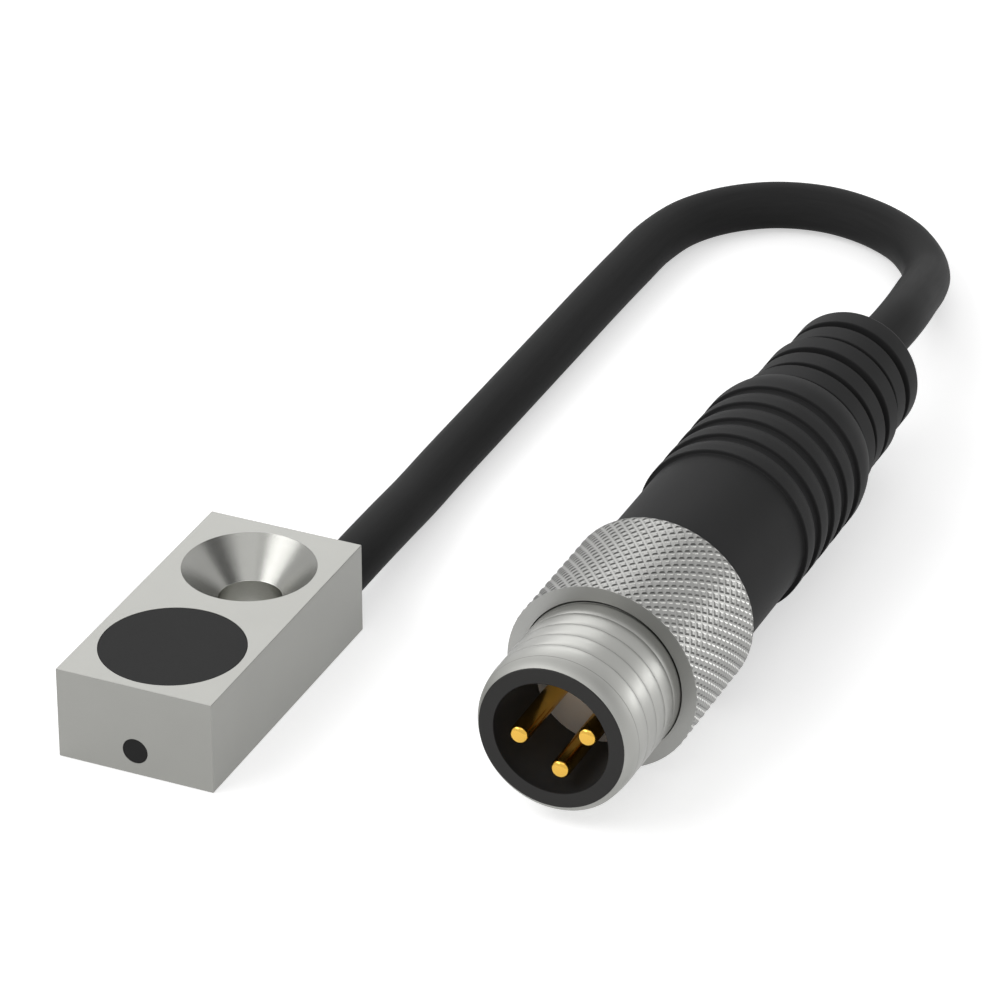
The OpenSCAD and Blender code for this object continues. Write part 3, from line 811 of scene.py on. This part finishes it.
# %% The shroud and the disc
SHROUD_R = 3.573
SHROUD_FRONT = -0.09
SHROUD_DEPTH = 4.7
PLUG_SIDES = 192
GROOVE_R = SHROUD_R - 0.35
GROOVE_START = 9.0
GROOVE_END = 9.44
HOLDER_BACK = 6.2
HOLDER_SIDES = 96
CARRIER_BACK = 10.24
TAIL_R = 2.33
TAIL_END = 11.44
shroud = turned("plug_shroud", softened([
    (SHROUD_BORE, SHROUD_FRONT), (SHROUD_R, SHROUD_FRONT), (SHROUD_R, GROOVE_START),
    (GROOVE_R, GROOVE_START), (GROOVE_R, GROOVE_END), (SHROUD_R, GROOVE_END),
    (SHROUD_R, CARRIER_BACK), (TAIL_R, CARRIER_BACK), (TAIL_R, TAIL_END), (0, TAIL_END),
    (0, HOLDER_BACK + GAP), (SHROUD_BORE, HOLDER_BACK + GAP)], MOULD_EDGE),
    on_plug, PLUG_SIDES, finishes["shroud"])
smooth_by_angle(shroud, 40)
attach(shroud, "root")
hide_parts("contact_carrier")

holder = turned("contact_disc", softened([
    (0, SHROUD_DEPTH), (SHROUD_BORE - GAP, SHROUD_DEPTH), (SHROUD_BORE - GAP, HOLDER_BACK),
    (0, HOLDER_BACK)], MOULD_EDGE),
    on_plug, HOLDER_SIDES, finishes["holder"])
smooth_by_angle(holder, 40)
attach(holder, "root")
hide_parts("contact_holder")
print("shroud and disc made")


# %% A tree that sets copies round the plug's axis
def new_tree(name, whole, real):
    """A geometry tree with named inputs, whole and real numbers, and the wires from them."""
    tree = bpy.data.node_groups.new(name, "GeometryNodeTree")
    tree.interface.new_socket("Geometry", in_out="INPUT", socket_type="NodeSocketGeometry")
    for label in whole:
        tree.interface.new_socket(label, in_out="INPUT", socket_type="NodeSocketInt")
    for label in real:
        tree.interface.new_socket(label, in_out="INPUT", socket_type="NodeSocketFloat")
    tree.interface.new_socket("Geometry", in_out="OUTPUT", socket_type="NodeSocketGeometry")
    start = tree.nodes.new("NodeGroupInput")
    wires = {socket.name: Wire(tree, socket) for socket in start.outputs if socket.name}
    return tree, wires


def end_tree(tree, geometry, material):
    """Ends a tree: instances are made real, the material is set, and out it goes."""
    real = geometry.node("GeometryNodeRealizeInstances", None, {"Geometry": geometry})
    done = real.node("GeometryNodeSetMaterial", None, {"Geometry": real, "Material": material})
    out = tree.nodes.new("NodeGroupOutput")
    tree.links.new(done.socket, out.inputs[0])


def run_tree(piece, tree, values):
    """Puts the tree on a piece with the values of its inputs, and bakes the result."""
    modifier = piece.modifiers.new(tree.name, "NODES")
    modifier.node_group = tree
    for item in tree.interface.items_tree:
        if item.item_type == "SOCKET" and item.in_out == "INPUT" and item.name in values:
            modifier[item.identifier] = values[item.name]
    return bake(piece)


def set_about_plug(points, angle, radius, at):
    """Moves points about the plug's axis, by their angle, radius and place behind the front."""
    place = points.node("ShaderNodeCombineXYZ", None, {
        "X": points.math("COSINE", angle) * radius + PLUG_X * MM,
        "Y": at + PLUG_Y * MM,
        "Z": points.math("SINE", angle) * radius + PLUG_Z * MM})
    return points.node("GeometryNodeSetPosition", None, {"Geometry": points, "Position": place})


def ring_of_copies():
    """Copies of the object's own mesh round the plug's axis, at equal steps."""
    tree, wires = new_tree("ring_of_copies", ["Copies"], ["Circle radius", "First angle", "Step"])
    points = wires["Geometry"].node("GeometryNodePoints", None, {"Count": wires["Copies"]})
    index = points.node("GeometryNodeInputIndex")
    angle = wires["First angle"] + index * wires["Step"]
    moved = set_about_plug(points, angle, wires["Circle radius"], 0)
    copies = moved.node("GeometryNodeInstanceOnPoints", None, {
        "Points": moved, "Instance": wires["Geometry"]})
    end_tree(tree, copies, finishes["gold"])
    return tree


print("tree of copies is written")

# %% The contacts
PIN_R = 0.475
PIN_CIRCLE = 1.72
PIN_BACK = 12.84
PIN_ANGLE = 12
PIN_STEP = 90
PIN_SIDES = 48
CUP_START = 6.62
CUP_R = 0.55
CUP_BORE = 0.25
CUP_DEPTH = 1

pins = turned("contacts", [
    (0, 0), (PIN_R - 0.26, 0.012), (PIN_R - 0.16, 0.04), (PIN_R - 0.08, 0.09),
    (PIN_R - 0.025, 0.17), (PIN_R, 0.3), (PIN_R, CUP_START), (CUP_R, CUP_START),
    (CUP_R, PIN_BACK), (CUP_BORE, PIN_BACK), (CUP_BORE, PIN_BACK - CUP_DEPTH),
    (0, PIN_BACK - CUP_DEPTH)],
    along_y_at(0, 0), PIN_SIDES, finishes["gold"])
smooth_by_angle(pins, 50)
run_tree(pins, ring_of_copies(), {
    "Copies": 3, "Circle radius": PIN_CIRCLE * MM,
    "First angle": math.radians(PIN_ANGLE - 180), "Step": math.radians(PIN_STEP)})
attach(pins, "root")
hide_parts("pin_brown", "pin_black", "pin_blue")
print("contact faces:", len(pins.data.polygons))

# %% [markdown]
# ## The thread
#
# A thread follows a rule, so it can be reckoned: a grid is rolled into a tube, and the
# radius of each of its points depends only on how far it is along a turn. The grid's
# columns are the angle and its rows the place along the axis. The turned body of the
# sleeve has the same number of columns, so the two are merged into one closed piece.

# %% A tree that rolls a grid into a threaded skin
def rolled_grid(wires):
    """A flat grid, and each point's row, column, share of a turn and place along the axis."""
    columns = wires["Columns"]
    rows = wires["Rows"]
    grid = rows.node("GeometryNodeMeshGrid", None, {
        "Size X": 1.0, "Size Y": 1.0, "Vertices X": columns + 1, "Vertices Y": rows})
    index = grid.node("GeometryNodeInputIndex")
    column = grid.math("FLOOR", (index + 0.5) / rows)
    row = index - column * rows
    share = column / columns
    at = row / (rows - 1) * wires["Length"]
    return grid, row, column, share, at


def joined_skin(wires, skin):
    """Joins the skin to the object's own mesh and merges the points that they share."""
    both = skin.node("GeometryNodeJoinGeometry")
    tree = skin.tree
    tree.links.new(wires["Geometry"].socket, both.socket.node.inputs[0])
    tree.links.new(skin.socket, both.socket.node.inputs[0])
    return both.node("GeometryNodeMergeByDistance", None, {"Geometry": both, "Distance": 2e-7})


FADE_L = 0.25
BAND_POWER = 4.0


def threaded_skin():
    """The sleeve's outside: bands that bulge from root to root and fade at both ends."""
    tree, wires = new_tree("threaded_skin", ["Columns", "Rows"], [
        "Start", "Length", "Radius", "Depth", "Pitch", "Phase"])
    grid, _, _, share, at = rolled_grid(wires)
    turn_place = (at + wires["Start"]) / wires["Pitch"] + share - wires["Phase"]
    part = grid.math("FRACT", turn_place + 10)
    root = grid.math("POWER", grid.math("ABSOLUTE", part * 2 - 1), BAND_POWER)
    ends = at.at_most(wires["Length"] - at) / (FADE_L * MM)
    fade = ends.at_most(1.0)
    radius = wires["Radius"] - wires["Depth"] * root * fade
    skin = set_about_plug(grid, share * (2 * math.pi), radius, at + wires["Start"])
    end_tree(tree, joined_skin(wires, skin), finishes["thread"])
    return tree


print("thread tree is written")

# %% The sleeve
THREAD_R = 3.95
THREAD_END = 6.3
THREAD_DEPTH = 0.03
THREAD_ROWS = 140
SEAT_R = 3.78
SLEEVE_BORE = 3.585
SLEEVE_BACK = 8.97
SLEEVE_COLUMNS = 240
sleeve = turned("screw_sleeve", [
    (THREAD_R, THREAD_END), (SEAT_R, THREAD_END + 0.05), (SEAT_R, SLEEVE_BACK),
    (SLEEVE_BORE, SLEEVE_BACK), (SLEEVE_BORE, 0), (3.65, 0.07), (3.72, 0.17), (3.79, 0.31),
    (3.85, 0.48), (3.89, 0.66), (3.92, 0.85), (3.94, 1.07), (THREAD_R, THREAD_START)],
    on_plug, SLEEVE_COLUMNS, finishes["thread"], keep_open=True)
run_tree(sleeve, threaded_skin(), {
    "Columns": SLEEVE_COLUMNS, "Rows": THREAD_ROWS, "Start": THREAD_START * MM,
    "Length": (THREAD_END - THREAD_START) * MM, "Radius": THREAD_R * MM,
    "Depth": THREAD_DEPTH * MM, "Pitch": THREAD_PITCH * MM, "Phase": THREAD_PHASE})

# The first turn runs out into the front edge, which is fuller at the bottom for that.
EDGE_FULL = 0.25
EDGE_R = 3.66
EDGE_SPREAD = 1.2
for vert in sleeve.data.vertices:
    across = vert.co.x - PLUG_X * MM
    height = vert.co.z - PLUG_Z * MM
    along = vert.co.y / MM - PLUG_Y
    radius = math.hypot(across, height) / MM
    apart = abs(math.atan2(height, across) + math.pi / 2)
    apart = min(apart, 2 * math.pi - apart)
    share = max(0.0, math.cos(EDGE_SPREAD * apart))
    if along < THREAD_START and radius > SLEEVE_BORE + GAP:
        full = min(THREAD_R, EDGE_R + (THREAD_R - EDGE_R) * along / EDGE_FULL)
        grown = 1 + max(0.0, full - radius) * share / radius
        vert.co.x = PLUG_X * MM + across * grown
        vert.co.z = PLUG_Z * MM + height * grown
smooth_by_angle(sleeve, 35)
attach(sleeve, "coupling")
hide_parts("threaded_sleeve")
print("sleeve faces:", len(sleeve.data.polygons))

# %% [markdown]
# ## The knurled ring
#
# Knurling presses two sets of slanting grooves into a ring, and leaves rows of small flat
# studs. The height at a point depends on how far it is from the nearest groove of each
# set. On a grid with five fields for half a stud, the foot and the top edge of each wall
# run along the fields' diagonals. The Triangulate node cuts a field along its shorter
# diagonal, which is always such an edge, so the studs come out crisp.

# %% A tree that rolls a grid into a knurled skin
LIGHT_ALONG = -0.62
LIGHT_AROUND = -0.79
WALL_SLOPE = 0.33
NUDGE = 0.001


def knurled_skin():
    """The ring's outside with its studs, and how much each wall faces the light.

    The nudge keeps rounding away from a groove's middle, and the lift keeps places above 0.
    """
    tree, wires = new_tree("knurled_skin", ["Columns", "Rows", "Fields"], [
        "Foot", "Wall", "Start", "Length", "Radius", "Depth"])
    grid, row, column, share, at = rolled_grid(wires)
    lift = wires["Rows"] * 10
    heights = []
    for place in (column + row, column - row + lift):
        pair = grid.math("FRACT", (place / wires["Fields"] + NUDGE) / 2)
        heights.append(grid.math("ABSOLUTE", pair * 2 - 1))
    height = (heights[0].at_most(heights[1]) - wires["Foot"]) / wires["Wall"]
    height = height.at_least(0.0).at_most(1.0)
    inner = row.at_most(wires["Rows"] - 1 - row).at_most(1.0)
    radius = wires["Radius"] - wires["Depth"] * ((1 - height) * inner + (1 - inner) * 0.5)
    skin = set_about_plug(grid, share * (2 * math.pi), radius, at + wires["Start"])
    split = skin.node("GeometryNodeTriangulate", {"quad_method": "SHORTEST_DIAGONAL"},
                      {"Mesh": skin})
    normal_x, normal_y, normal_z = split.node("GeometryNodeInputNormal").axes()
    across, _, height = plug_axes(split.node("GeometryNodeInputPosition"))
    around = (normal_z * across - normal_x * height) / wires["Radius"]
    # How much each face turns to the light, kept for the painted highlight and painted shade of
    # the knurl's colour.
    facing = (normal_y * LIGHT_ALONG + around * LIGHT_AROUND) / WALL_SLOPE
    facing = facing.at_least(-1.0).at_most(1.0)
    marked = split.node("GeometryNodeStoreNamedAttribute",
                        {"data_type": "FLOAT", "domain": "FACE"},
                        {"Geometry": split, "Name": "facing", "Value": facing})
    end_tree(tree, joined_skin(wires, marked), finishes["knurl"])
    return tree


print("knurl tree is written")

# %% The ring
KNURL_R = 4.75
KNURL_DEPTH = 0.038
KNURL_L = 6.9
FIELDS = 5
KNURL_COLUMNS = 108 * FIELDS
KNURL_ROWS = 20 * FIELDS + 1
RING_BORE = 3.80
RECESS_R = 3.985
RECESS_L = 0.8
REAR_LIP_R = 4.45

knurl_end = KNURL_START + KNURL_L
end_r = KNURL_R - KNURL_DEPTH / 2
ring = turned("knurled_grip_ring", [
    (end_r, knurl_end), (REAR_LIP_R, knurl_end), (RING_BORE, knurl_end),
    (RING_BORE, KNURL_START + RECESS_L), (RECESS_R, KNURL_START + RECESS_L),
    (RECESS_R, KNURL_START + GAP), (RECESS_R + GAP, KNURL_START), (end_r, KNURL_START)],
    on_plug, KNURL_COLUMNS, finishes["knurl"], keep_open=True)
run_tree(ring, knurled_skin(), {
    "Columns": KNURL_COLUMNS, "Rows": KNURL_ROWS, "Fields": FIELDS, "Foot": 1 / FIELDS,
    "Wall": 2 / FIELDS, "Start": KNURL_START * MM, "Length": KNURL_L * MM,
    "Radius": KNURL_R * MM, "Depth": KNURL_DEPTH * MM})
smooth_by_angle(ring, 12)
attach(ring, "coupling")
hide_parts("knurled_ring")
print("ring faces:", len(ring.data.polygons))

# %% [markdown]
# ## The grip
#
# The grip is moulded round the end of the lead in black rubbery plastic. Its profile has
# three stretches: a smooth neck, five ribs with a sharp front and a rounded back, and a
# bend relief of rings with deep slots between them.

# %% The grip's profile
NOSE_R = 3.7
NECK_R = 4.175
RIB_R = 4.4
RIB_COUNT = 5
RIB_PITCH = 1.73
RIB_LAND = 0.5
RIB_ROUND = 0.8
SHOULDER_R = 4.13
SHOULDER_L = 1.9
SLOT_W = 0.56
SLOT_R = 2.8
RELIEF_R = (3.8, 3.665, 3.665, 3.425)
END_R = 3.425
END_L = 1.4
GRIP_FRONT = 12.75
RIBS_AT = GRIP_FRONT + 7.6
LIP = 0.35
CAVITY_R = 2.72
CAVITY_CONE = 17.78
CAVITY_END_R = 1.665
CAVITY_END = 21.78
GRIP_EDGE = 0.06
QUARTER = [math.radians(15 * k) for k in range(7)]
SHOULDER_STEPS = 7


def ribs():
    """Ribs with a sharp front and a rounded back. The last has a long shoulder instead."""
    points = []
    for i in range(RIB_COUNT - 1):
        at = RIBS_AT + i * RIB_PITCH
        points += [(NECK_R, at), (RIB_R, at)]
        for a in QUARTER:
            points.append((NECK_R + (RIB_R - NECK_R) * math.cos(a),
                           at + RIB_LAND + RIB_ROUND * math.sin(a)))
    at = RIBS_AT + (RIB_COUNT - 1) * RIB_PITCH
    points += [(NECK_R, at), (RIB_R, at)]
    for k in range(SHOULDER_STEPS + 1):
        t = k / SHOULDER_STEPS
        points.append((RIB_R - (RIB_R - SHOULDER_R) * t * t,
                       at + RIB_LAND + (SHOULDER_L - RIB_LAND) * t))
    return points


def bend_relief(at):
    """Rings that get smaller, with deep slots between them, and a rounded end."""
    points = []
    for radius in RELIEF_R:
        points += [(SLOT_R, at - SLOT_W), (SLOT_R, at), (radius, at),
                   (radius, at + RIB_PITCH - SLOT_W)]
        at += RIB_PITCH
    points += [(SLOT_R, at - SLOT_W), (SLOT_R, at), (END_R, at)]
    end = at + END_L
    for a in QUARTER:
        points.append((END_R - LIP * (1 - math.cos(a)), end - LIP * (1 - math.sin(a))))
    return points + [(CABLE_R + GAP, end)]


def grip_profile():
    """The grip's outside from front to end, and the room inside it for the lead's end."""
    neck = [(CAVITY_R, CARRIER_BACK + GAP), (NOSE_R, CARRIER_BACK + GAP),
            (NOSE_R, GRIP_FRONT), (NECK_R, GRIP_FRONT)]
    relief_start = RIBS_AT + (RIB_COUNT - 1) * RIB_PITCH + SHOULDER_L + SLOT_W
    room = [(CABLE_R + GAP, CAVITY_END), (CAVITY_END_R, CAVITY_END), (CAVITY_R, CAVITY_CONE)]
    return neck + ribs() + bend_relief(relief_start) + room


grip = turned("moulded_grip", softened(grip_profile(), GRIP_EDGE, least=30),
              on_plug, PLUG_SIDES, finishes["grip"])
smooth_by_angle(grip, 35)
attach(grip, "root")
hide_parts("grip")
print("grip faces:", len(grip.data.polygons))

# %% [markdown]
# ## Background and floor
#
# A picture on white needs a white floor and a white world, but not more light on the
# object. Light Path tells the camera's rays, and those that mirrors and glass pass on,
# from the rays that carry light. The floor keeps its shading, and so the soft shadow.

# %% The world
def bare_tree(owner):
    """Empties the node tree of a world or a material, and gives a wire to build on it."""
    owner.use_nodes = True
    owner.node_tree.nodes.clear()
    return Wire(owner.node_tree)


def put_out(surface, kind):
    """Links a surface or a background to the output of its tree."""
    out = surface.tree.nodes.new(kind)
    surface.tree.links.new(surface.socket, out.inputs["Surface"])


def camera_mask(wire):
    """1 for the camera's rays and for those that mirrors and glass pass on, else 0."""
    path = wire.node("ShaderNodeLightPath", out="Is Camera Ray")
    seen = path + path.beside("Is Glossy Ray") + path.beside("Is Transmission Ray")
    return seen.at_most(1.0)


WHITE = (1, 1, 1, 1)
ROOM_LIGHT = 0.5
world = bpy.data.worlds.new("studio")
bpy.context.scene.world = world
sky = bare_tree(world)
strength = camera_mask(sky) * (1.0 - ROOM_LIGHT) + ROOM_LIGHT
put_out(sky.node("ShaderNodeBackground", None, {"Color": WHITE, "Strength": strength}),
        "ShaderNodeOutputWorld")
print("room light:", ROOM_LIGHT)

# %% The floor
FLOOR_HALF = 1.5
FLOOR_DROP = 0.03
FLOOR_GLOW = 0.54
floor_bm = bmesh.new()
bmesh.ops.create_grid(floor_bm, x_segments=1, y_segments=1, size=FLOOR_HALF)
floor_material = bpy.data.materials.new("floor_white")
floor = new_piece("floor", floor_bm, floor_material)
for vert in floor.data.vertices:
    vert.co.z = -FLOOR_DROP * MM
if floor.data.polygons[0].normal.z < 0:
    floor.data.flip_normals()
paint = bare_tree(floor_material)
matt = paint.node("ShaderNodeBsdfDiffuse", None, {"Color": (0.8, 0.8, 0.8, 1)})
glow = paint.node("ShaderNodeEmission", None, {
    "Color": WHITE, "Strength": camera_mask(paint) * FLOOR_GLOW})
put_out(paint.node("ShaderNodeAddShader", None, {0: matt, 1: glow}),
        "ShaderNodeOutputMaterial")
print("floor laid")

# %% [markdown]
# ## Lamps and a card
#
# Satin metal shows what stands round it, so the places and sizes of the lamps set its
# tones. A wide softbox behind lights the tops, a wide one in front the sides, and three
# small ones fill in. The card is seen as a reflection only, and evens out the block's top.

# %% The lamps
CENTRE = Vector((0.01, 0.015, 0.0))


def seen_at(azimuth, height, distance):
    """A place in the room, by its angle round the part from +X and its angle above the floor."""
    azimuth = math.radians(azimuth)
    height = math.radians(height)
    away = Vector((math.cos(azimuth) * math.cos(height),
                   math.sin(azimuth) * math.cos(height), math.sin(height)))
    return CENTRE + away * distance


def hung_at(place):
    """The matrix of something that hangs at a place and looks at the centre."""
    aim = (CENTRE - place).to_track_quat("-Z", "Y")
    return Matrix.Translation(place) @ aim.to_matrix().to_4x4()


def softbox(name, place, size, watts):
    """An area lamp of a width and a height in metres."""
    lamp = bpy.data.lights.new(name, "AREA")
    lamp.shape = "RECTANGLE"
    lamp.size = size[0]
    lamp.size_y = size[1]
    lamp.energy = watts
    box = bpy.data.objects.new(name, lamp)
    box.matrix_world = hung_at(place)
    bpy.context.scene.collection.objects.link(box)


# A row has two angles and a distance for seen_at, the lamp's size, and its watts.
LAMPS = {
    "key": (118, 34, 0.53, (0.40, 0.25), 0.47),
    "low": (51, 5, 0.50, (0.20, 0.08), 0.17),
    "front": (-139, 47, 0.50, (0.40, 0.20), 0.78),
    "above": (-64, 58, 0.50, (0.30, 0.16), 0.15),
    "right": (27, 15, 0.50, (0.22, 0.14), 0.08),
}
for name, (azimuth, height, distance, size, watts) in LAMPS.items():
    softbox(name, seen_at(azimuth, height, distance), size, watts)
print("lamps hung:", len(LAMPS))


# %% The card
def grey_card(name, place, size, shade):
    """A glowing card that only reflections show."""
    bm = bmesh.new()
    bmesh.ops.create_grid(bm, x_segments=1, y_segments=1, size=0.5)
    hang = hung_at(place)
    for vert in bm.verts:
        vert.co = hang @ Vector((vert.co.x * size[0], vert.co.y * size[1], 0))
    material = bpy.data.materials.new(name)
    card = bare_tree(material)
    put_out(card.node("ShaderNodeEmission", None, {"Color": WHITE, "Strength": shade}),
            "ShaderNodeOutputMaterial")
    piece = new_piece(name, bm, material)
    piece.visible_camera = False
    piece.visible_diffuse = False
    piece.visible_shadow = False


grey_card("card", seen_at(8, 48, 0.45), (0.26, 0.25), 0.2)
print("card hung")

# %% [markdown]
# ## Finish
#
# The Standard view transform shows colours as they are written.

# %% Finish
bpy.context.scene.view_settings.view_transform = "Standard"
